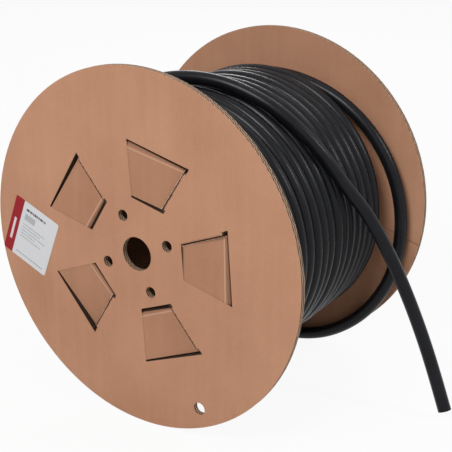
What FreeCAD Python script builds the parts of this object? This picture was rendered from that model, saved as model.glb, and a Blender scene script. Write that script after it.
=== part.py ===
import FreeCAD, Part
import math
import os
import Sketcher

# Corrugated-board hose reel. The reel's axis lies along Y, Z is up, and the origin is the
# centre of the reel, on its axis, midway between the two flanges. Millimetres throughout.

V = FreeCAD.Vector
doc = FreeCAD.newDocument("hose_reel")
cells = doc.addObject("Spreadsheet::Sheet", "p")
SIZES = [
    ("reel_rad", 254.0, "flange radius"),
    ("reel_width", 370.0, "over both flanges"),
    ("board", 8.0, "double-wall board thickness"),
    ("arbor_rad", 24.0, "spindle hole radius"),
    ("drive_rad", 8.0, "drive hole radius"),
    ("drive_circle", 55.3, "radius of the circle the drive holes stand on"),
    ("drive_turn", 23.3, "angle of the first drive hole"),
    ("tie_rad", 9.0, "radius of the tie hole near the rim"),
    ("tie_reach", 226.8, "distance of the tie hole from the axis"),
    ("tie_turn", -63.8, "angle of the tie hole"),
    ("flap_near", 75.6, "flap's inner edge from the axis"),
    ("flap_far", 150.3, "flap's outer edge from the axis"),
    ("flap_half", 18.0, "half of the angle a flap fills"),
    ("flap_turn", 76.0, "angle of the first flap's middle"),
    ("flap_tilt", 4.5, "how far a flap is pushed in, degrees"),
    ("kerf", 2.4, "width of the cut round a flap"),
    ("notch_long", 8.0, "corner notch of a flap, along its free side"),
    ("notch_wide", 4.0, "corner notch of a flap, out into the board"),
    ("crush_wide", 6.0, "crushed edge of a flap, across its face"),
    ("crush_deep", 3.6, "crushed edge of a flap, into the board"),
    ("barrel_rad", 168.5, "outside of the barrel"),
    ("barrel_wall", 6.0, "wall of the barrel"),
    ("hose_dia", 19.0, "outside of the hose"),
    ("hose_bore", 13.0, "bore of the hose"),
    ("turn_pitch", 19.5, "from one turn to the next"),
    ("turns", 16, "turns in the outer layer"),
    ("layer_step", 16.5, "from one nested layer to the next"),
    ("label_w", 84.0, "label width"),
    ("label_h", 92.0, "label height"),
    ("label_t", 0.3, "label thickness"),
    ("label_r", 3.0, "label corner radius"),
    ("label_x", -195.2, "label centre, across"),
    ("label_z", -14.7, "label centre, up"),
    ("label_turn", -22.0, "label's lean"),
]
for row, (name, value, note) in enumerate(SIZES, start=1):
    cells.set("A%d" % row, name)
    cells.set("B%d" % row, repr(value))
    cells.set("C%d" % row, note)
    cells.setAlias("B%d" % row, name)
doc.recompute()


def size(name):
    return float(cells.get(name))


def polar(radius, degrees, height=0.0):
    angle = math.radians(degrees)
    return V(radius * math.cos(angle), radius * math.sin(angle), height)


def origin_part(body, role):
    return next(o for o in body.Origin.OriginFeatures if o.Role == role)


def new_sketch(body, plane, name):
    sketch = body.newObject("Sketcher::SketchObject", name)
    sketch.AttachmentSupport = [(origin_part(body, plane), "")]
    sketch.MapMode = "FlatFace"
    return sketch


def bound_circle(sketch, centre, radius_name):
    # a circle whose radius follows the spreadsheet
    circle = sketch.addGeometry(Part.Circle(centre, V(0, 0, 1), size(radius_name)))
    number = sketch.addConstraint(Sketcher.Constraint("Radius", circle, size(radius_name)))
    sketch.setExpression("Constraints[%d]" % number, "p.%s" % radius_name)
    return circle


def pin_to_axis(sketch, circle):
    sketch.addConstraint(Sketcher.Constraint("Coincident", circle, 3, -1, 1))


def pin_at(sketch, circle, x_rule, y_rule, at):
    # holds a circle's centre at two distances from the origin
    for kind, value, rule in (("DistanceX", at.x, x_rule), ("DistanceY", at.y, y_rule)):
        number = sketch.addConstraint(Sketcher.Constraint(kind, -1, 1, circle, 3, value))
        sketch.setExpression("Constraints[%d]" % number, rule)


def cut_through(body, sketch, name):
    pocket = body.newObject("PartDesign::Pocket", name)
    pocket.Profile = sketch
    pocket.Type = 1
    pocket.Midplane = True
    body.Tip = pocket
    return pocket


def ring_of(body, feature, count, name):
    pattern = body.newObject("PartDesign::PolarPattern", name)
    pattern.Originals = [feature]
    pattern.Axis = (origin_part(body, "Z_Axis"), [""])
    pattern.Angle = 360.0
    pattern.Occurrences = count
    body.Tip = pattern
    return pattern


def closed_outline(sketch, edges):
    # draws lines (two points) and arcs (three points) that already meet end to end
    for points in edges:
        if len(points) == 2:
            sketch.addGeometry(Part.LineSegment(points[0], points[1]))
        else:
            sketch.addGeometry(Part.Arc(points[0], points[1], points[2]))


# ---------------------------------------------------------------------------- the flanges
# Each flange is one die-cut board: a spindle hole, four drive holes, a tie hole near the rim
# and five flaps, cut on three sides and pushed a little way into the barrel to hold it.
# In the flange's own frame the inner face is at z = 0 and the outer face at z = board.
HINGE_SIDES = (1, 1, -1, -1, -1)
CRUSHED_EDGES = ("far", "near", "near", "near", "far")
NEAR_END_CUT = (True, True, True, True, False)


def flap_outline(near, far, spread):
    near_w = near * math.tan(math.radians(spread))
    far_w = far * math.tan(math.radians(spread))
    return [V(-near_w, near, 0), V(near_w, near, 0), V(far_w, far, 0), V(-far_w, far, 0)]


def make_flange(name):
    body = doc.addObject("PartDesign::Body", name + "_board")

    disc_sketch = new_sketch(body, "XY_Plane", name + "_disc_sketch")
    pin_to_axis(disc_sketch, bound_circle(disc_sketch, V(0, 0, 0), "reel_rad"))
    disc = body.newObject("PartDesign::Pad", name + "_disc")
    disc.Profile = disc_sketch
    disc.setExpression("Length", "p.board")
    body.Tip = disc

    arbor_sketch = new_sketch(body, "XY_Plane", name + "_arbor_sketch")
    pin_to_axis(arbor_sketch, bound_circle(arbor_sketch, V(0, 0, 0), "arbor_rad"))
    cut_through(body, arbor_sketch, name + "_arbor_hole")

    tie_sketch = new_sketch(body, "XY_Plane", name + "_tie_sketch")
    tie_at = polar(size("tie_reach"), size("tie_turn"))
    tie = bound_circle(tie_sketch, tie_at, "tie_rad")
    pin_at(tie_sketch, tie, "p.tie_reach * cos(p.tie_turn * 1deg)",
           "p.tie_reach * sin(p.tie_turn * 1deg)", tie_at)
    cut_through(body, tie_sketch, name + "_tie_hole")

    drive_sketch = new_sketch(body, "XY_Plane", name + "_drive_sketch")
    drive_at = polar(size("drive_circle"), size("drive_turn"))
    drive = bound_circle(drive_sketch, drive_at, "drive_rad")
    pin_at(drive_sketch, drive, "p.drive_circle * cos(p.drive_turn * 1deg)",
           "p.drive_circle * sin(p.drive_turn * 1deg)", drive_at)
    drive_hole = cut_through(body, drive_sketch, name + "_drive_hole")
    ring_of(body, drive_hole, 4, name + "_drive_holes")

    window_sketch = new_sketch(body, "XY_Plane", name + "_window_sketch")
    corners = flap_outline(size("flap_near"), size("flap_far"), size("flap_half"))
    turn = FreeCAD.Rotation(V(0, 0, 1), size("flap_turn") - 90.0)
    corners = [turn.multVec(corner) for corner in corners]
    closed_outline(window_sketch, list(zip(corners, corners[1:] + corners[:1])))
    window = cut_through(body, window_sketch, name + "_window")
    ring_of(body, window, 5, name + "_windows")

    notch_sketch = new_sketch(body, "XY_Plane", name + "_notch_sketch")
    for number, side in enumerate(HINGE_SIDES):
        closed_outline(notch_sketch, notch_edges(number, side))
    cut_through(body, notch_sketch, name + "_notches")

    pieces = [body]
    for number, side in enumerate(HINGE_SIDES):
        pieces.append(make_flap(name, number, side))
    flange = doc.addObject("Part::MultiFuse", name)
    flange.Shapes = pieces
    flange.Label = name
    return flange


def notch_edges(number, side):
    # a small square bite out of the board at the outer corner of a flap's free side
    free_side = size("flap_turn") + 72.0 * number - side * size("flap_half")
    slope = math.cos(math.radians(size("flap_half")))
    high = size("flap_far") / slope - 0.5
    low = high - size("notch_long")
    along = polar(1.0, free_side)
    aside = polar(1.0, free_side - side * 90.0)
    wide = size("notch_wide")
    corners = [along * low - aside, along * high - aside, along * high + aside * wide,
               along * low + aside * wide]
    return list(zip(corners, corners[1:] + corners[:1]))


def crushed(flap, edge_name):
    # bevels the outer face's edge at the flap's near or far end, where it was pressed in
    if edge_name == "near":
        level = size("flap_near") + size("kerf")
    else:
        level = size("flap_far") - size("kerf")
    doc.recompute()
    bevel = doc.addObject("Part::Chamfer", flap.Name + "_crushed")
    bevel.Base = flap
    upright = flap.Placement.inverse()
    picked = []
    for number, edge in enumerate(flap.Shape.Edges, start=1):
        ends = [upright.multVec(vertex.Point) for vertex in edge.Vertexes]
        if all(abs(end.y - level) < 0.01 and end.z > size("board") / 2 for end in ends):
            picked.append((number, size("crush_wide"), size("crush_deep")))
    bevel.Edges = picked
    doc.recompute()
    # of the two ways round, the wide side of the bevel belongs on the flap's face
    lowest = min(upright.multVec(v.Point).z for v in bevel.Shape.Vertexes
                 if abs(upright.multVec(v.Point).y - level) < 0.01
                 and upright.multVec(v.Point).z > 0.5)
    if abs(size("board") - 0.2 - lowest - size("crush_deep")) > 0.05:
        bevel.Edges = [(number, deep, wide) for number, wide, deep in picked]
    return bevel


def make_flap(name, number, side):
    # a flap hangs on one of its sloping sides: side 1 is the anticlockwise one
    flap = doc.addObject("Part::Wedge", "%s_flap_%d" % (name, number + 1))
    weld = "1.0"
    slope = "tan(p.flap_half * 1deg)"
    near = "(p.flap_near + p.kerf)" if NEAR_END_CUT[number] else "(p.flap_near - 1.0)"
    far = "(p.flap_far - p.kerf)"
    hinge = "(%s * " + slope + " + " + weld + ")"
    free = "(%s * " + slope + " - p.kerf / cos(p.flap_half * 1deg))"
    low, high = (hinge, free) if side > 0 else (free, hinge)
    flap.setExpression("Ymin", near)
    flap.setExpression("Ymax", far)
    flap.setExpression("Xmin", "-" + low % near)
    flap.setExpression("Xmax", high % near)
    flap.setExpression("X2min", "-" + low % far)
    flap.setExpression("X2max", high % far)
    flap.Zmin = 0.0
    flap.Z2min = 0.0
    flap.setExpression("Zmax", "p.board - 0.2")
    flap.setExpression("Z2max", "p.board - 0.2")
    middle = size("flap_turn") + 72.0 * number
    hinge_line = polar(1.0, middle + side * size("flap_half"))
    pivot = V(0, 0, size("board") - 0.2)
    tilt = FreeCAD.Placement(V(0, 0, 0), FreeCAD.Rotation(hinge_line, side * size("flap_tilt")), pivot)
    turn = FreeCAD.Placement(V(0, 0, 0), FreeCAD.Rotation(V(0, 0, 1), middle - 90.0))
    flap.Placement = tilt.multiply(turn)
    return crushed(flap, CRUSHED_EDGES[number])


inner_face = size("reel_width") / 2 - size("board")
front = make_flange("front_flange")
front.Placement = FreeCAD.Placement(V(0, -inner_face, 0), FreeCAD.Rotation(V(1, 0, 0), 90))

# the rear board faces the other way and is turned so that its drive holes line up
rear = make_flange("rear_flange")
face_back = FreeCAD.Rotation(V(1, 0, 0), -90)
line_up = FreeCAD.Rotation(V(0, 1, 0), 270.0 - 2.0 * size("drive_turn"))
rear.Placement = FreeCAD.Placement(V(0, inner_face, 0), line_up.multiply(face_back))

# ----------------------------------------------------------------------------- the barrel
barrel_out = doc.addObject("Part::Cylinder", "barrel_outside")
barrel_out.setExpression("Radius", "p.barrel_rad")
barrel_out.setExpression("Height", "p.reel_width - 2 * p.board")
barrel_in = doc.addObject("Part::Cylinder", "barrel_inside")
barrel_in.setExpression("Radius", "p.barrel_rad - p.barrel_wall")
barrel_in.setExpression("Height", "p.reel_width - 2 * p.board")
barrel = doc.addObject("Part::Cut", "barrel")
barrel.Base = barrel_out
barrel.Tool = barrel_in
barrel.Label = "barrel"
barrel.Placement = FreeCAD.Placement(V(0, inner_face, 0), FreeCAD.Rotation(V(1, 0, 0), 90))

# ------------------------------------------------------------------------ the wound hose
# One turned solid stands for the hose wound on the barrel. In its own frame it starts at
# z = 0, the rear end, which stops short of the rear flange, and runs to the front flange.
half_hose = size("hose_dia") / 2
wound_rad = size("barrel_rad") + size("layer_step") + size("hose_dia")
crest_flat = 0.15
wound_length = size("turn_pitch") * size("turns")
rear_end = wound_length - (inner_face - 0.3)

wound = doc.addObject("PartDesign::Body", "hose_winding")
wound.Label = "hose_winding"
ring_sketch = new_sketch(wound, "XZ_Plane", "ring_sketch")
ring_in = size("barrel_rad")
ring_out = wound_rad - crest_flat
ring = [V(ring_in, 0, 0), V(ring_out, 0, 0), V(ring_out, wound_length, 0), V(ring_in, wound_length, 0)]
closed_outline(ring_sketch, list(zip(ring, ring[1:] + ring[:1])))
for first, second in ((0, 1), (1, 2), (2, 3), (3, 0)):
    ring_sketch.addConstraint(Sketcher.Constraint("Coincident", first, 2, second, 1))
for line, way in ((0, "Horizontal"), (1, "Vertical"), (2, "Horizontal"), (3, "Vertical")):
    ring_sketch.addConstraint(Sketcher.Constraint(way, line))
ring_rules = (
    ("DistanceX", 0, 1, ring_in, "p.barrel_rad"),
    ("DistanceX", 1, 1, ring_out, "p.barrel_rad + p.layer_step + p.hose_dia - 0.15"),
    ("DistanceY", 2, 1, wound_length, "p.turn_pitch * p.turns"),
)
for kind, line, end, value, rule in ring_rules:
    number = ring_sketch.addConstraint(Sketcher.Constraint(kind, -1, 1, line, end, value))
    ring_sketch.setExpression("Constraints[%d]" % number, rule)
ring_sketch.addConstraint(Sketcher.Constraint("PointOnObject", 0, 1, -1))
ring_turned = wound.newObject("PartDesign::Revolution", "ring")
ring_turned.Profile = ring_sketch
ring_turned.ReferenceAxis = (ring_sketch, ["V_Axis"])
ring_turned.Angle = 360.0
wound.Tip = ring_turned


def on_turn(centre, degrees):
    # a point on the hose's round section; 0 degrees points away from the reel's axis
    angle = math.radians(degrees)
    return V(centre.x + half_hose * math.cos(angle), centre.y + half_hose * math.sin(angle), 0)


def turned_groove(name, edges):
    sketch = new_sketch(wound, "XZ_Plane", name + "_sketch")
    closed_outline(sketch, edges)
    groove = wound.newObject("PartDesign::Groove", name)
    groove.Profile = sketch
    groove.ReferenceAxis = (sketch, ["V_Axis"])
    groove.Angle = 360.0
    wound.Tip = groove
    return groove


crest = wound_rad - half_hose
above = wound_rad + 1.0
pitch = size("turn_pitch")
first_turn = V(crest, pitch / 2, 0)
second_turn = V(crest, pitch * 1.5, 0)
a0, a1, a2 = on_turn(first_turn, 5), on_turn(first_turn, 50), on_turn(first_turn, 90)
b0, b1, b2 = on_turn(second_turn, -90), on_turn(second_turn, -50), on_turn(second_turn, -5)
valley = turned_groove("valley", [
    (a0, a1, a2), (a2, b0), (b0, b1, b2), (b2, V(above, b2.y, 0)),
    (V(above, b2.y, 0), V(above, a0.y, 0)), (V(above, a0.y, 0), a0),
])
valleys = wound.newObject("PartDesign::LinearPattern", "valleys")
valleys.Originals = [valley]
valleys.Direction = (origin_part(wound, "Z_Axis"), [""])
valleys.setExpression("Length", "p.turn_pitch * (p.turns - 2)")
valleys.setExpression("Occurrences", "p.turns - 1")
wound.Tip = valleys


def end_groove(name, start, way):
    # rounds the end turn of both layers, so the turns show on the winding's end
    outer = V(crest, start + way * pitch / 2, 0)
    inner = V(crest - size("layer_step"), start + way * pitch, 0)
    past = start - way * 1.0
    floor_rad = size("barrel_rad") - 1.0
    o0, o1, o2 = on_turn(outer, -5 * way), on_turn(outer, -50 * way), on_turn(outer, -90 * way)
    o3, o4 = on_turn(outer, -120 * way), on_turn(outer, -135 * way)
    i0, i1, i2 = on_turn(inner, -20 * way), on_turn(inner, -60 * way), on_turn(inner, -110 * way)
    foot = V(inner.x - half_hose + 1.0, i2.y, 0)
    corner = V(floor_rad, i2.y, 0)
    turned_groove(name, [
        (V(above, o0.y, 0), o0), (o0, o1, o2), (o2, o3, o4), (o4, i0), (i0, i1, i2),
        (i2, corner), (corner, V(floor_rad, past, 0)), (V(floor_rad, past, 0), V(above, past, 0)),
        (V(above, past, 0), V(above, o0.y, 0)),
    ])


end_groove("rear_turns", 0.0, 1)
end_groove("front_turns", wound_length, -1)
wound.Placement = FreeCAD.Placement(V(0, rear_end, 0), FreeCAD.Rotation(V(1, 0, 0), 90))

# ------------------------------------------------- the loose turn and the free end of hose
# The hose carries on from the winding's last turn at the rear. It makes one loose turn that
# hugs the winding over the top and hangs low under the reel, crosses to the front behind the
# winding, comes over the top on the outer layer, and hangs down to a plain cut end. The route
# is a list of points chosen by hand: first degrees, distance from the axis and distance along
# it, going round clockwise as seen from the front, and then X, Y and Z for the free end.
ROUND_THE_REEL = [
    (130, 193.0, 145.2), (110, 190.5, 146.2), (90, 191.0, 147.2), (70, 195.5, 149.5),
    (50, 204.0, 152.5), (30, 214.0, 155.5), (10, 223.5, 159.0), (-10, 232.0, 161.5),
    (-30, 242.5, 163.0), (-50, 250.5, 163.5), (-70, 254.5, 163.0), (-90, 247.0, 158.0),
    (-110, 244.0, 141.0), (-130, 238.0, 112.0), (-150, 232.0, 76.0), (-170, 226.3, 36.0),
    (-190, 221.5, -6.0), (-210, 218.0, -43.0), (-230, 216.6, -66.0), (-248, 216.6, -60.0),
    (-266, 216.6, -47.0), (-284, 216.6, -35.0), (-303, 216.6, -23.0), (-322, 216.6, -4.0),
    (-340, 216.6, 22.0),
]
FREE_END = [
    (219.4, 39.6, 45.9), (238.4, 53.4, 8.7), (259.7, 63.3, -35.6), (282.8, 68.9, -84.7),
    (307.0, 69.7, -136.5), (331.6, 65.5, -189.0), (356.1, 55.9, -240.0),
]
route = []
for degrees, radius, along in ROUND_THE_REEL:
    spot = polar(radius, degrees)
    route.append(V(spot.x, along, spot.y))
route.extend(V(*spot) for spot in FREE_END)


def rounded_path(points):
    # straight runs joined by tangent arcs, with the radius taken from the shorter run
    edges = []
    radii = []
    start = points[0]
    for before, corner, after in zip(points, points[1:], points[2:]):
        into = (corner - before).normalize()
        out = (after - corner).normalize()
        half_turn = into.getAngle(out) / 2
        reach = 0.45 * min(corner.distanceToPoint(before), corner.distanceToPoint(after))
        radius = reach / math.tan(half_turn)
        arc_start = corner - into * reach
        arc_end = corner + out * reach
        inward = (out - into).normalize()
        middle = corner + inward * (radius / math.cos(half_turn) - radius)
        edges.append(Part.LineSegment(start, arc_start).toShape())
        edges.append(Part.Arc(arc_start, middle, arc_end).toShape())
        radii.append(radius)
        start = arc_end
    edges.append(Part.LineSegment(start, points[-1]).toShape())
    return Part.Wire(edges), radii


path_wire, path_radii = rounded_path(route)
path = doc.addObject("Part::Feature", "tail_path")
path.Shape = path_wire
path_edges = ["Edge%d" % (n + 1) for n in range(len(path_wire.Edges))]
start_way = (route[1] - route[0]).normalize()


def swept_round(name, radius_rule):
    section = doc.addObject("Part::Circle", name + "_section")
    section.setExpression("Radius", radius_rule)
    section.Placement = FreeCAD.Placement(route[0], FreeCAD.Rotation(V(0, 0, 1), start_way))
    sweep = doc.addObject("Part::Sweep", name)
    sweep.Sections = [section]
    sweep.Spine = (path, path_edges)
    sweep.Solid = True
    sweep.Frenet = False
    return sweep


tail = doc.addObject("Part::Cut", "hose_tail")
tail.Base = swept_round("tail_outside", "p.hose_dia / 2")
tail.Tool = swept_round("tail_bore", "p.hose_bore / 2")
tail.Label = "hose_tail"

# ------------------------------------------------------------------------------ the label
label_box = doc.addObject("Part::Box", "label_sheet")
label_box.setExpression("Length", "p.label_w")
label_box.setExpression("Width", "p.label_h")
label_box.setExpression("Height", "p.label_t")
doc.recompute()
label = doc.addObject("Part::Fillet", "label")
label.Base = label_box
upright = []
for number, edge in enumerate(label_box.Shape.Edges, start=1):
    ends = [vertex.Point for vertex in edge.Vertexes]
    if abs(ends[0].z - ends[1].z) > size("label_t") / 2:
        upright.append((number, size("label_r"), size("label_r")))
label.Edges = upright
label.Label = "label"
flat_on = FreeCAD.Rotation(V(1, 0, 0), 90)
lean = FreeCAD.Rotation(V(0, 1, 0), -size("label_turn"))
to_centre = lean.multiply(flat_on).multVec(V(-size("label_w") / 2, -size("label_h") / 2, 0))
label_at = V(size("label_x"), -size("reel_width") / 2, size("label_z"))
label.Placement = FreeCAD.Placement(label_at + to_centre, lean.multiply(flat_on))

# ------------------------------------------------------------------------ check and export
doc.recompute()
for item in doc.Objects:
    bad = [word for word in item.State if word in ("Invalid", "Error")]
    if bad:
        raise RuntimeError("%s is %s" % (item.Name, bad))

os.makedirs("parts", exist_ok=True)
for item in (front, rear, barrel, wound, tail, label):
    shape = item.Shape
    if shape.isNull() or not shape.isValid() or not shape.Solids:
        raise RuntimeError("%s has no valid solid" % item.Label)
    shape.exportStep("parts/%s.step" % item.Label)
    box = shape.BoundBox
    print("%-13s solids %d  volume %.0f  x %.1f %.1f  y %.1f %.1f  z %.1f %.1f" % (
        item.Label, len(shape.Solids), shape.Volume,
        box.XMin, box.XMax, box.YMin, box.YMax, box.ZMin, box.ZMax))

section_area = math.pi * (size("hose_dia") ** 2 - size("hose_bore") ** 2) / 4
print("tail length %.1f mm" % path_wire.Length)
print("tail volume / (section x length) %.4f" % (tail.Shape.Volume / (section_area * path_wire.Length)))
print("smallest tail radius %.1f mm, %.1f diameters" % (
    min(path_radii), min(path_radii) / size("hose_dia")))
print("tail radii", " ".join("%.0f" % radius for radius in path_radii))
print("tail route", " ".join("(%.1f, %.1f, %.1f)" % tuple(point) for point in route))
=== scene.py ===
# %% [markdown]
# A corrugated-board reel of black rubber hose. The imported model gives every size; this file
# gives the board, the rubber and the sticker their looks, and winds the hose turn by turn.

# %% load the frame
import bmesh
import bpy
import math
from mathutils import Matrix, Vector


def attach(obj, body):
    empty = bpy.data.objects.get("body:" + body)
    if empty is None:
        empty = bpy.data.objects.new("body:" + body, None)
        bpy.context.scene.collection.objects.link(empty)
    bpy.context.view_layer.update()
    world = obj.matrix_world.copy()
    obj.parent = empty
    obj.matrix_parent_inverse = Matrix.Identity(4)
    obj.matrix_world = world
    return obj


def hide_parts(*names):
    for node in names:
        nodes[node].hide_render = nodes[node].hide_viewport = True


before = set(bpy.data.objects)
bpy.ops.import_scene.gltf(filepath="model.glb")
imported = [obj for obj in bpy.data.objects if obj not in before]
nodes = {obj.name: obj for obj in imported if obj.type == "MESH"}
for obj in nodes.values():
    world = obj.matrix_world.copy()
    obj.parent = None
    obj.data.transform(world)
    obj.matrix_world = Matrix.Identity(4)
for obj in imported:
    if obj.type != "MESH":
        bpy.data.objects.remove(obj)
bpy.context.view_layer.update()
scene = bpy.context.scene

# %% sizes in metres
REEL_RAD = 0.254
HALF_WIDTH = 0.185
HOSE_RAD = 0.0095
HOSE_BORE = 0.0065
PITCH = 0.0195
FLOOR_Z = -REEL_RAD

# %% [markdown]
# ## Camera and studio
# A long lens from the front and right, a little above. Its place is worked out from how round
# the two flanges look, so that both flanges and the hose come out at about their sizes.

# %% camera
LOOK_TURN = math.radians(33.93)
LOOK_DOWN = math.radians(20.24)
back = Vector((math.sin(LOOK_TURN) * math.cos(LOOK_DOWN),
               -math.cos(LOOK_TURN) * math.cos(LOOK_DOWN), math.sin(LOOK_DOWN)))
camera_data = bpy.data.cameras.new("studio_camera")
camera_data.lens = 82.49
camera_data.sensor_width = 36.0
camera = bpy.data.objects.new("studio_camera", camera_data)
scene.collection.objects.link(camera)
camera.location = Vector((3.2202, -4.6725, 2.0271)) * REEL_RAD
camera.rotation_euler = back.to_track_quat("Z", "Y").to_euler()
scene.camera = camera
print("camera at", [round(c, 3) for c in camera.location])

# %% [markdown]
# ## Shader sums
# A socket is wrapped so that plain Python operators add Math nodes. `node` makes any other
# kind: its settings go in first, then the values or links of its inputs.


# %% socket helper
class Sum:
    def __init__(self, tree, socket):
        self.tree = tree
        self.socket = socket

    def math(self, operation, *others):
        made = self.tree.nodes.new("ShaderNodeMath")
        made.operation = operation
        for place, value in enumerate((self,) + others):
            join(self.tree, value, made.inputs[place])
        return Sum(self.tree, made.outputs[0])

    def __add__(self, other):
        return self.math("ADD", other)

    def __radd__(self, other):
        return self.math("ADD", other)

    def __sub__(self, other):
        return self.math("SUBTRACT", other)

    def __rsub__(self, other):
        return number(self.tree, other).math("SUBTRACT", self)

    def __mul__(self, other):
        return self.math("MULTIPLY", other)

    def __rmul__(self, other):
        return self.math("MULTIPLY", other)

    def below(self, limit, soft):
        # 1 under the limit, 0 over it, with a soft step between
        made = self.tree.nodes.new("ShaderNodeMapRange")
        made.interpolation_type = "SMOOTHSTEP"
        join(self.tree, self, made.inputs["Value"])
        join(self.tree, limit - soft, made.inputs["From Min"])
        join(self.tree, limit + soft, made.inputs["From Max"])
        made.inputs["To Min"].default_value = 1.0
        made.inputs["To Max"].default_value = 0.0
        return Sum(self.tree, made.outputs["Result"])

    def above(self, limit, soft):
        return 1.0 - self.below(limit, soft)


def number(tree, value):
    made = tree.nodes.new("ShaderNodeValue")
    made.outputs[0].default_value = value
    return Sum(tree, made.outputs[0])


def join(tree, value, socket):
    if isinstance(value, Sum):
        tree.links.new(value.socket, socket)
    elif value is not None:
        socket.default_value = value


def node(tree, kind, output, settings=None, **inputs):
    made = tree.nodes.new(kind)
    for name, value in (settings or {}).items():
        setattr(made, name, value)
    for name, value in inputs.items():
        join(tree, value, made.inputs[name.replace("_", " ")])
    return Sum(tree, made.outputs[output])


def new_finish(name):
    finish = bpy.data.materials.new(name)
    finish.use_nodes = True
    tree = finish.node_tree
    return finish, tree, tree.nodes["Principled BSDF"]


def place_of(tree):
    # object coordinates, and their three parts in metres
    coordinates = tree.nodes.new("ShaderNodeTexCoord")
    place = Sum(tree, coordinates.outputs["Object"])
    facing = Sum(tree, coordinates.outputs["Normal"])
    parts = []
    for vector in (place, facing):
        split = tree.nodes.new("ShaderNodeSeparateXYZ")
        tree.links.new(vector.socket, split.inputs[0])
        parts.append([Sum(tree, split.outputs[axis]) for axis in range(3)])
    return place, parts[0], parts[1]


def stretched(tree, place, scale):
    return node(tree, "ShaderNodeMapping", 0, Vector=place, Scale=scale)


def noise(tree, vector, scale, detail=3.0, roughness=0.55):
    return node(tree, "ShaderNodeTexNoise", "Fac", Vector=vector, Scale=scale, Detail=detail,
                Roughness=roughness)


def blend(tree, factor, first, second, mode="MIX"):
    made = tree.nodes.new("ShaderNodeMix")
    made.data_type = "RGBA"
    made.blend_type = mode
    join(tree, factor, made.inputs[0])
    join(tree, first, made.inputs[6])
    join(tree, second, made.inputs[7])
    return Sum(tree, made.outputs[2])


def bump(tree, height, strength, distance):
    return node(tree, "ShaderNodeBump", 0, Height=height, Strength=strength, Distance=distance)


# %% [markdown]
# ## Corrugated board
# Double-wall board is three flat liners with two waved sheets between them. The faces are
# brown kraft paper with faint upright bands where the flutes press through. The waves only
# show where the board is cut: at the rim, round the flaps and in the holes. One finish can
# hold both, because a cut face points away from the reel's axis and a liner points along it.

# %% board sizes and colours
FLUTE = 0.0072
FLAP_NEAR = 0.0756
FLAP_FAR = 0.1503
FLAP_HALF = 18.0
FLAP_FIRST = 76.0
REAR_TURN = 223.4
FLUTE_STEP = 2 * math.pi / FLUTE
LINER_DARK = (0.415, 0.206, 0.121, 1)
LINER_PALE = (0.540, 0.284, 0.174, 1)
# the open flutes of a cut edge are painted this dark, as painted shade in the hollows
FLUTE_GAP_SHADE = (0.085, 0.042, 0.024, 1)
CUT_PALE = (0.66, 0.46, 0.32, 1)


# %% board finish
def board_finish(name, outer_sign, creased, flap_turn):
    finish, tree, skin = new_finish(name)
    place, (x, y, z), (_, face_y, _) = place_of(tree)
    cut = face_y.math("ABSOLUTE").below(0.55, 0.12)

    # paper: soft mottling, upright bands and short fibres
    mottle = noise(tree, place, 9.0, 4.0)
    bands = noise(tree, stretched(tree, place, (1.0, 1.0, 0.05)), 70.0, 2.0)
    fibres = noise(tree, stretched(tree, place, (1.0, 1.0, 0.35)), 900.0, 2.0)
    tone = mottle * 0.5 + bands * 0.22 + fibres * 0.28
    ramp = tree.nodes.new("ShaderNodeValToRGB")
    ramp.color_ramp.elements[0].position = 0.3
    ramp.color_ramp.elements[0].color = LINER_DARK
    ramp.color_ramp.elements[1].position = 0.72
    ramp.color_ramp.elements[1].color = LINER_PALE
    tree.links.new(tone.socket, ramp.inputs[0])
    paper = Sum(tree, ramp.outputs[0])

    # the cut board: liners and two waved sheets, from the outer face inwards in millimetres; the
    # gaps between them are painted dark as shade
    depth = (HALF_WIDTH - y * outer_sign) * 1000.0
    wave = (x * FLUTE_STEP).math("SINE") * 1.45
    sheet_one = (depth - 2.1 - wave).math("ABSOLUTE").below(0.42, 0.22)
    sheet_two = (depth - 5.9 - wave).math("ABSOLUTE").below(0.42, 0.22)
    liner_out = depth.below(0.5, 0.2)
    liner_mid = (depth - 4.0).math("ABSOLUTE").below(0.32, 0.2)
    liner_in = depth.above(7.5, 0.2)
    solid = sheet_one.math("MAXIMUM", sheet_two).math("MAXIMUM", liner_out)
    solid = solid.math("MAXIMUM", liner_mid).math("MAXIMUM", liner_in)
    ragged = noise(tree, place, 260.0, 3.0)
    solid = (solid * (0.65 + ragged * 0.7)).math("MINIMUM", 1.0)
    edge = blend(tree, solid, FLUTE_GAP_SHADE, CUT_PALE)
    colour = blend(tree, cut, paper, edge)

    height = mottle * 0.3 + fibres * 0.5 + (x * FLUTE_STEP).math("SINE") * 0.10
    if creased:
        # a bend through the board, near the rim on the free end's side; it marks both faces with
        # a dent and a line of painted shade
        fold = crease_line(tree, x, z, (0.195, -0.035), (0.252, -0.052))
        colour = blend(tree, fold.above(0.5, 0.4) * 0.45, colour, (0.17, 0.085, 0.05, 1))
        height = height - fold * 3.0
    height = height * (1.0 - cut) + solid * cut * 2.5
    if flap_turn is not None:
        colour, sunk = flap_marks(tree, place, x, z, colour, flap_turn)
        height = height - sunk * 2.0
    tree.links.new(colour.socket, skin.inputs["Base Color"])
    skin.inputs["Roughness"].default_value = 0.86
    skin.inputs["Specular IOR Level"].default_value = 0.25
    tree.links.new(bump(tree, height, 0.35, 0.0006).socket, skin.inputs["Normal"])
    return finish
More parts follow.
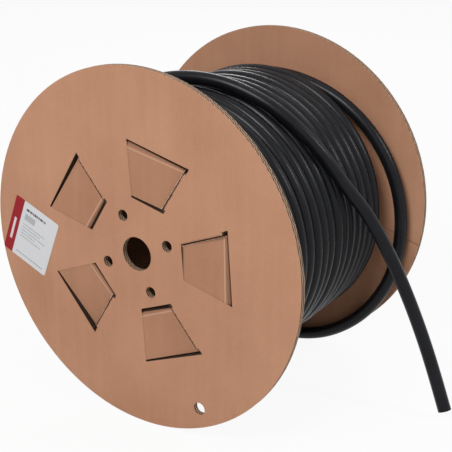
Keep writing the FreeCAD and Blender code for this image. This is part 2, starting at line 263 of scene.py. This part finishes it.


# %% [markdown]
# ## The five flaps
# Each flap is die-cut on three sides and pushed in about the fourth, which stays as a fold.
# The imported model has the cuts, the tilt and the crushed end. What is added here is painted
# shade in the open cuts, down the crushed slope, on the sunk faces and along the folds, a
# painted highlight on the lip, and the torn fibres, which are too fine and ragged to model.
# The flaps share one outline, so each is turned onto one direction and drawn by the same sums.


# %% flap directions
def flap_directions(x, z, turn):
    # `out` runs along the middle of the nearest flap and `side` across it, to its free side
    if turn:
        angle = math.radians(turn)
        turned_x = x * math.cos(angle) - z * math.sin(angle)
        z = (x * math.sin(angle) + z * math.cos(angle)) * -1.0
        x = turned_x
    fifth = 2 * math.pi / 5
    swing = z.math("ARCTAN2", x) - math.radians(FLAP_FIRST) + fifth / 2
    count = (swing * (1.0 / fifth)).math("FLOOR")
    swing = swing - count * fifth - fifth / 2
    count = (count + 5.0).math("MODULO", 5.0)
    reach = (x * x + z * z).math("SQRT")
    out = reach * swing.math("COSINE")
    hinge = 1.0 - count.above(1.5, 0.1) * 2.0
    side = reach * swing.math("SINE") * hinge * -1.0
    return count, out, side


# %% flap marks
FINE = 0.0004


def flap_marks(tree, place, x, z, colour, turn):
    count, out, side = flap_directions(x, z, turn)
    far_crushed = (count - 2.0).math("ABSOLUTE").above(1.5, 0.1)
    last_flap = count.above(3.5, 0.1)

    # how far inside each edge of the flap: positive on the flap, negative on the board
    wobble = (noise(tree, place, 190.0, 3.0) - 0.5) * 0.0030
    speckle = noise(tree, place, 420.0, 2.0)
    lean = math.tan(math.radians(FLAP_HALF))
    square = math.cos(math.radians(FLAP_HALF))
    free = (out * lean - side) * square
    fold = (out * lean + side) * square
    near = out - FLAP_NEAR
    far = FLAP_FAR - out
    crushed = far_crushed * far + (1.0 - far_crushed) * near
    plain_end = far_crushed * near + (1.0 - far_crushed) * far
    across = free.above(-FINE, FINE) * fold.above(-FINE, FINE)
    along = near.above(-FINE, FINE) * far.above(-FINE, FINE)
    sunk = 1.0 - (free * 11.0).math("MINIMUM", 1.0)

    # the crushed end: painted shade in the open slot, and painted shade on the paper sloping
    # down to it
    slot_width = 0.0034 + sunk * 0.0034
    slot_shade = crushed.above(-0.0002, 0.0003) * crushed.below(slot_width, 0.0008) * across
    slope_shade = (1.0 - crushed * (1.0 / 0.0100)).math("MAXIMUM", 0.0)
    slope_shade = slope_shade * crushed.above(0.0, FINE) * across

    # the other end's slit, the torn free side and its two corner notches, painted dark as shade
    # in the open cuts
    slit = (plain_end - 0.0006).math("ABSOLUTE").below(0.0009, FINE)
    slit = slit * across * (1.0 - last_flap * 0.8)
    torn = (free + wobble).math("ABSOLUTE").below(0.0005 + speckle * 0.0022, 0.0006) * along
    torn = torn * (1.0 - last_flap * 0.75)
    notch_reach = far.math("MINIMUM", near.math("MAXIMUM", 0.0) + last_flap * 0.05)
    notch = (free + 0.0012).math("ABSOLUTE").below(0.0032, 0.0005)
    notch = notch * notch_reach.below(0.0055, 0.0006) * along
    cut_shade = slot_shade.math("MAXIMUM", slit).math("MAXIMUM", torn).math("MAXIMUM", notch)

    # pale torn fibres, a painted highlight on the lip of the slope, and painted shade along the
    # fold
    fibre_width = speckle * 0.0022 - 0.0005
    fibre = (free - 0.0026 + wobble * 1.6).math("ABSOLUTE").below(fibre_width, FINE) * along
    lip_highlight = (crushed - 0.0104).math("ABSOLUTE").below(0.0010, 0.0006) * across
    fold_shade = fold.math("ABSOLUTE").below(0.0012, 0.0010) * along

    # the sunk flap faces are painted a little darker, as painted shade
    shaded = blend(tree, 1.0, colour, (0.80, 0.78, 0.76, 1), "MULTIPLY")
    colour = blend(tree, across * along * 0.75, colour, shaded)
    # painted shade down the crushed slope
    colour = blend(tree, slope_shade * 0.75, colour, (0.110, 0.050, 0.030, 1))
    # painted shade along the fold
    colour = blend(tree, fold_shade * 0.14, colour, (0.120, 0.055, 0.034, 1))
    # painted shade in the slot, the slits, the tears and the notches
    colour = blend(tree, cut_shade * 0.94, colour, (0.014, 0.006, 0.004, 1))
    # pale torn fibres, and a painted highlight on the lip
    fibres_and_highlight = fibre.math("MAXIMUM", lip_highlight * 0.45) * (1.0 - cut_shade)
    colour = blend(tree, fibres_and_highlight * 0.7, colour, (0.76, 0.52, 0.38, 1))
    return colour, cut_shade.math("MAXIMUM", slope_shade)


# %% a bend in the board
def crease_line(tree, x, z, start, end):
    # 1 on the line between two points of the board, fading over a few millimetres
    run = Vector((end[0] - start[0], end[1] - start[1]))
    along = run.normalized()
    across = (x - start[0]) * (-along.y) + (z - start[1]) * along.x
    reach = (x - start[0]) * along.x + (z - start[1]) * along.y
    return across.math("ABSOLUTE").below(0.0012, 0.0012) * reach.above(0.0, 0.01)


# %% finish the boards
front_board = board_finish("kraft_board_front", -1.0, False, 0.0)
rear_board = board_finish("kraft_board_rear", 1.0, True, REAR_TURN)
barrel_board = board_finish("kraft_board_barrel", 1.0, False, None)
for node_name, finish in (("front_flange", front_board), ("rear_flange", rear_board),
                          ("barrel", barrel_board)):
    nodes[node_name].data.materials.clear()
    nodes[node_name].data.materials.append(finish)
    print(node_name, "finished as", finish.name)

# %% [markdown]
# ## Rubber
# A black cover with a weak shine, so that each turn shows one soft streak. It has the faint
# woven print of a cover cured in a cloth wrap, and a little dust. Both only roughen the streak,
# so they are sines and noise in the bump and the roughness, and need no shape of their own.


# %% rubber finish
def rubber_finish(name, shade):
    finish, tree, skin = new_finish(name)
    place, (x, y, z), _ = place_of(tree)
    around = z.math("ARCTAN2", x) * 0.2
    weave_a = ((around + y) * (2 * math.pi / 0.0021)).math("SINE")
    weave_b = ((around - y) * (2 * math.pi / 0.0021)).math("SINE")
    dust = noise(tree, place, 38.0, 4.0)
    grain = noise(tree, place, 620.0, 2.0)
    colour = blend(tree, dust.above(0.55, 0.2) * 0.5, (shade, shade * 1.05, shade * 1.35, 1),
                   (shade * 1.8, shade * 1.95, shade * 2.6, 1))
    tree.links.new(colour.socket, skin.inputs["Base Color"])
    skin.inputs["Specular IOR Level"].default_value = 0.16
    rough = 0.17 + grain * 0.16 + dust * 0.10
    tree.links.new(rough.socket, skin.inputs["Roughness"])
    height = weave_a * weave_b * 0.5 + grain * 0.9
    tree.links.new(bump(tree, height, 0.07, 0.0003).socket, skin.inputs["Normal"])
    return finish


rubber = rubber_finish("rubber_cover", 0.006)

# %% [markdown]
# ## The winding
# The wound hose could stay a turned ring, but on the real reel each turn wanders a little and
# the spiral climbs from one flange towards the other. A curve is wound as a real spiral, two
# layers deep, and its bevel gives it the hose's section; it is then kept as a mesh.


# %% wind one layer
WOUND_TO = 130.0
WANDER_ROOM = 0.0011


def wind(name, radius, first_y, turns, steps, sides):
    line = bpy.data.curves.new(name, "CURVE")
    line.dimensions = "3D"
    line.bevel_depth = HOSE_RAD
    line.bevel_resolution = sides
    line.use_fill_caps = True
    spline = line.splines.new("POLY")
    count = int(turns * steps) + 1
    spline.points.add(count - 1)
    for index in range(count):
        turn = index / steps
        angle = math.radians(WOUND_TO) - 2 * math.pi * (turn - turns)
        wander = 0.0007 * math.sin(turn * 2.7 + 1.1)
        wander += 0.0006 * math.sin(angle * 2.0 + turn * 5.1)
        swell = 0.0006 * math.sin(turn * 4.3) + 0.0005 * math.sin(angle * 3.0 + turn * 2.3)
        y = first_y + PITCH * turn + wander
        reach = radius + swell - WANDER_ROOM
        spline.points[index].co = (reach * math.cos(angle), y, reach * math.sin(angle), 1.0)
    source = bpy.data.objects.new(name + "_line", line)
    mesh = bpy.data.meshes.new_from_object(source)
    bpy.data.objects.remove(source)
    mesh.name = name
    piece = bpy.data.objects.new(name, mesh)
    scene.collection.objects.link(piece)
    mesh.polygons.foreach_set("use_smooth", [True] * len(mesh.polygons))
    mesh.materials.clear()
    mesh.materials.append(rubber)
    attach(piece, "root")
    print(name, len(mesh.polygons), "faces")
    return piece


# %% the two layers
outer_layer = wind("wound_outer_layer", 0.1945, -0.1668, 16.0, 72, 5)
inner_layer = wind("wound_inner_layer", 0.1780, -0.1570, 14.5, 60, 3)
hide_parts("hose_winding")
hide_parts("hose_winding")

# %% [markdown]
# ## The loose turn and the free end
# The hose leaves the winding's rear end, makes one loose turn down to the level of the rims
# and up behind, lies over the top and hangs down to its cut end. It could be swept round a
# hand-drawn path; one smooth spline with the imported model's own points does the same.

# %% free hose
ROUTE = [
    (-0.1241, 0.1452, 0.1478), (-0.0652, 0.1462, 0.1790), (0.0000, 0.1472, 0.1910),
    (0.0669, 0.1495, 0.1837), (0.1311, 0.1525, 0.1563), (0.1853, 0.1555, 0.1070),
    (0.2201, 0.1590, 0.0388), (0.2285, 0.1615, -0.0403), (0.2100, 0.1630, -0.1212),
    (0.1610, 0.1635, -0.1919), (0.0870, 0.1630, -0.2392), (0.0000, 0.1580, -0.2470),
    (-0.0835, 0.1410, -0.2293), (-0.1530, 0.1120, -0.1823), (-0.2009, 0.0760, -0.1160),
    (-0.2229, 0.0360, -0.0393), (-0.2181, -0.0060, 0.0385), (-0.1888, -0.0430, 0.1090),
    (-0.1392, -0.0660, 0.1659), (-0.0811, -0.0600, 0.2008), (-0.0151, -0.0470, 0.2161),
    (0.0524, -0.0350, 0.2102), (0.1180, -0.0230, 0.1817), (0.1707, -0.0040, 0.1334),
    (0.2035, 0.0220, 0.0741), (0.2194, 0.0396, 0.0459), (0.2384, 0.0534, 0.0087),
    (0.2597, 0.0633, -0.0356), (0.2828, 0.0689, -0.0847), (0.3070, 0.0697, -0.1365),
    (0.3316, 0.0655, -0.1890), (0.3561, 0.0559, -0.2400),
]
free_line = bpy.data.curves.new("loose_hose", "CURVE")
free_line.dimensions = "3D"
free_line.bevel_depth = HOSE_RAD
free_line.bevel_resolution = 8
free_line.resolution_u = 10
spline = free_line.splines.new("NURBS")
spline.points.add(len(ROUTE) - 1)
for point, spot in zip(spline.points, ROUTE):
    point.co = (*spot, 1.0)
spline.order_u = 3
spline.use_endpoint_u = True
spline.use_smooth = True
loose_hose = bpy.data.objects.new("loose_hose", free_line)
scene.collection.objects.link(loose_hose)
free_line.materials.append(rubber)
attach(loose_hose, "root")
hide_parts("hose_tail")

# %% cut end: the wall of the hose and its bore
cut_mesh = bpy.data.meshes.new("hose_cut_end")
bm = bmesh.new()
BORE_DEEP = -0.045
profile = [(0.0001, BORE_DEEP), (HOSE_BORE, BORE_DEEP), (HOSE_BORE, -0.0004),
           (HOSE_BORE + 0.0003, 0.0), (HOSE_RAD - 0.0007, 0.0), (HOSE_RAD - 0.0002, -0.0003),
           (HOSE_RAD + 0.00004, -0.0010), (HOSE_RAD + 0.00004, -0.0030)]
corners = [bm.verts.new((reach, 0.0, height)) for reach, height in profile]
lines = [bm.edges.new(pair) for pair in zip(corners, corners[1:])]
bmesh.ops.spin(bm, geom=corners + lines, cent=(0, 0, 0), axis=(0, 0, 1), angle=2 * math.pi,
               steps=40, use_merge=True)
bmesh.ops.remove_doubles(bm, verts=bm.verts, dist=0.00002)
bmesh.ops.recalc_face_normals(bm, faces=bm.faces)
tip = Vector(ROUTE[-1])
outward = (tip - Vector(ROUTE[-2])).normalized()
turn = outward.to_track_quat("Z", "Y").to_matrix().to_4x4()
bmesh.ops.transform(bm, matrix=Matrix.Translation(tip + outward * 0.0003) @ turn, verts=bm.verts)
for face in bm.faces:
    face.smooth = True
bm.to_mesh(cut_mesh)
bm.free()
cut_mesh.materials.append(rubber)
cut_end = bpy.data.objects.new("hose_cut_end", cut_mesh)
scene.collection.objects.link(cut_end)
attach(cut_end, "root")
print("free hose through", len(ROUTE), "points")

# %% [markdown]
# ## The sticker
# A white sheet with a red strip down its left side. Its print is only plain bars: a heading,
# short lines and a block of upright bars, worked out on the sheet's own two directions.

# %% sticker finish
LABEL_AT = (-0.1952, -0.0147)
LABEL_TURN = math.radians(-22.0)
LABEL_W = 0.084
LABEL_H = 0.092
sticker, tree, skin = new_finish("sticker_paper")
place, (x, y, z), _ = place_of(tree)
right = (x - LABEL_AT[0]) * math.cos(LABEL_TURN) + (z - LABEL_AT[1]) * math.sin(LABEL_TURN)
up = (z - LABEL_AT[1]) * math.cos(LABEL_TURN) - (x - LABEL_AT[0]) * math.sin(LABEL_TURN)
u = right * (1.0 / LABEL_W) + 0.5
v = up * (1.0 / LABEL_H) + 0.5


def bar(left, right_end, low, high):
    inside_u = u.above(left, 0.004) * u.below(right_end, 0.004)
    return inside_u * v.above(low, 0.004) * v.below(high, 0.004)


def broken(scale, seed):
    # gaps that turn a solid bar into something like a row of words
    gaps = node(tree, "ShaderNodeTexNoise", "Fac", {"noise_dimensions": "1D"},
                W=u * scale + seed, Scale=1.0, Detail=0.0)
    return gaps.above(0.42, 0.03)


# %% the print and the strip
LINES = ((0.80, 7.0), (0.70, 11.0), (0.84, 17.0), (0.62, 19.0), (0.76, 29.0))
ink = bar(0.28, 0.74, 0.855, 0.895) * broken(55.0, 3.0)
code = bar(0.28, 0.52, 0.69, 0.80) * (0.35 + 0.65 * (u * 420.0).math("SINE").above(0.0, 0.5))
ink = ink.math("MAXIMUM", code * 0.55)
for line, (end, seed) in enumerate(LINES):
    low = 0.60 - 0.055 * line
    ink = ink.math("MAXIMUM", bar(0.28, end, low, low + 0.016) * broken(85.0, seed) * 0.6)
ink = ink.math("MAXIMUM", bar(0.28, 0.92, 0.075, 0.095) * broken(120.0, 23.0) * 0.6)
sheet = blend(tree, u.below(0.20, 0.003), (0.64, 0.645, 0.665, 1), (0.29, 0.006, 0.014, 1))
printed = blend(tree, ink, sheet, (0.045, 0.045, 0.05, 1))
strip_bar = (u.above(0.075, 0.004) * u.below(0.125, 0.004)
             * v.above(0.22, 0.005) * v.below(0.62, 0.005))
printed = blend(tree, strip_bar * 0.75, printed, (0.80, 0.78, 0.78, 1))
tree.links.new(printed.socket, skin.inputs["Base Color"])
skin.inputs["Roughness"].default_value = 0.45
skin.inputs["Specular IOR Level"].default_value = 0.2
nodes["label"].data.materials.clear()
nodes["label"].data.materials.append(sticker)

# %% [markdown]
# ## Floor and light
# The camera, glossy and see-through rays meet a pale floor as near white, and it still takes the
# reel's shadow. A broad lamp above the front sets the board's level, a weaker one behind keeps
# the back readable, and two thin strips, on the right and high up, draw the streaks along the
# turns. The world adds a weak, even fill and is white where it is seen.

# %% which rays meet the background
FLOOR_GLOW = 0.93
WORLD_FILL = 0.28


def background_rays(tree):
    path = tree.nodes.new("ShaderNodeLightPath")
    seen = Sum(tree, path.outputs["Is Camera Ray"])
    for kind in ("Is Glossy Ray", "Is Transmission Ray"):
        seen = seen.math("MAXIMUM", Sum(tree, path.outputs[kind]))
    return seen


# %% floor
bm = bmesh.new()
bmesh.ops.create_grid(bm, x_segments=1, y_segments=1, size=8.0)
bmesh.ops.translate(bm, verts=bm.verts, vec=(0, 0, FLOOR_Z))
floor_mesh = bpy.data.meshes.new("studio_floor")
bm.to_mesh(floor_mesh)
bm.free()
floor = bpy.data.objects.new("studio_floor", floor_mesh)
scene.collection.objects.link(floor)
floor_finish = bpy.data.materials.new("floor_white")
floor_finish.use_nodes = True
tree = floor_finish.node_tree
tree.nodes.clear()
matt = node(tree, "ShaderNodeBsdfDiffuse", 0, Color=(0.8, 0.8, 0.8, 1))
glow = node(tree, "ShaderNodeEmission", 0, Color=(1, 1, 1, 1), Strength=1.0)
mixed = tree.nodes.new("ShaderNodeMixShader")
output = tree.nodes.new("ShaderNodeOutputMaterial")
join(tree, background_rays(tree) * FLOOR_GLOW, mixed.inputs[0])
join(tree, matt, mixed.inputs[1])
join(tree, glow, mixed.inputs[2])
tree.links.new(mixed.outputs[0], output.inputs[0])
floor_mesh.materials.append(floor_finish)

# %% world
world = bpy.data.worlds.new("studio_world")
world.use_nodes = True
scene.world = world
tree = world.node_tree
ground = tree.nodes["Background"]
strength = background_rays(tree) * (1.0 - WORLD_FILL) + WORLD_FILL
join(tree, strength, ground.inputs["Strength"])
ground.inputs["Color"].default_value = (1, 1, 1, 1)


# %% lamps
def soft_lamp(name, spot, width, height, power):
    lamp_data = bpy.data.lights.new(name, "AREA")
    lamp_data.shape = "RECTANGLE"
    lamp_data.size = width
    lamp_data.size_y = height
    lamp_data.energy = power
    lamp = bpy.data.objects.new(name, lamp_data)
    scene.collection.objects.link(lamp)
    lamp.location = spot
    lamp.rotation_euler = Vector(spot).to_track_quat("Z", "Y").to_euler()
    return lamp


soft_lamp("front_lamp", (0.3, -2.6, 2.4), 1.3, 1.0, 80.0)
soft_lamp("back_lamp", (-1.6, 2.8, 1.6), 1.4, 0.8, 26.0)
soft_lamp("right_strip", (1.95, 0.55, 1.25), 0.10, 0.50, 12.0)
soft_lamp("high_strip", (0.15, 0.6, 2.4), 0.6, 0.06, 2.0)

# %% colour handling, and the end
scene.view_settings.view_transform = "Standard"
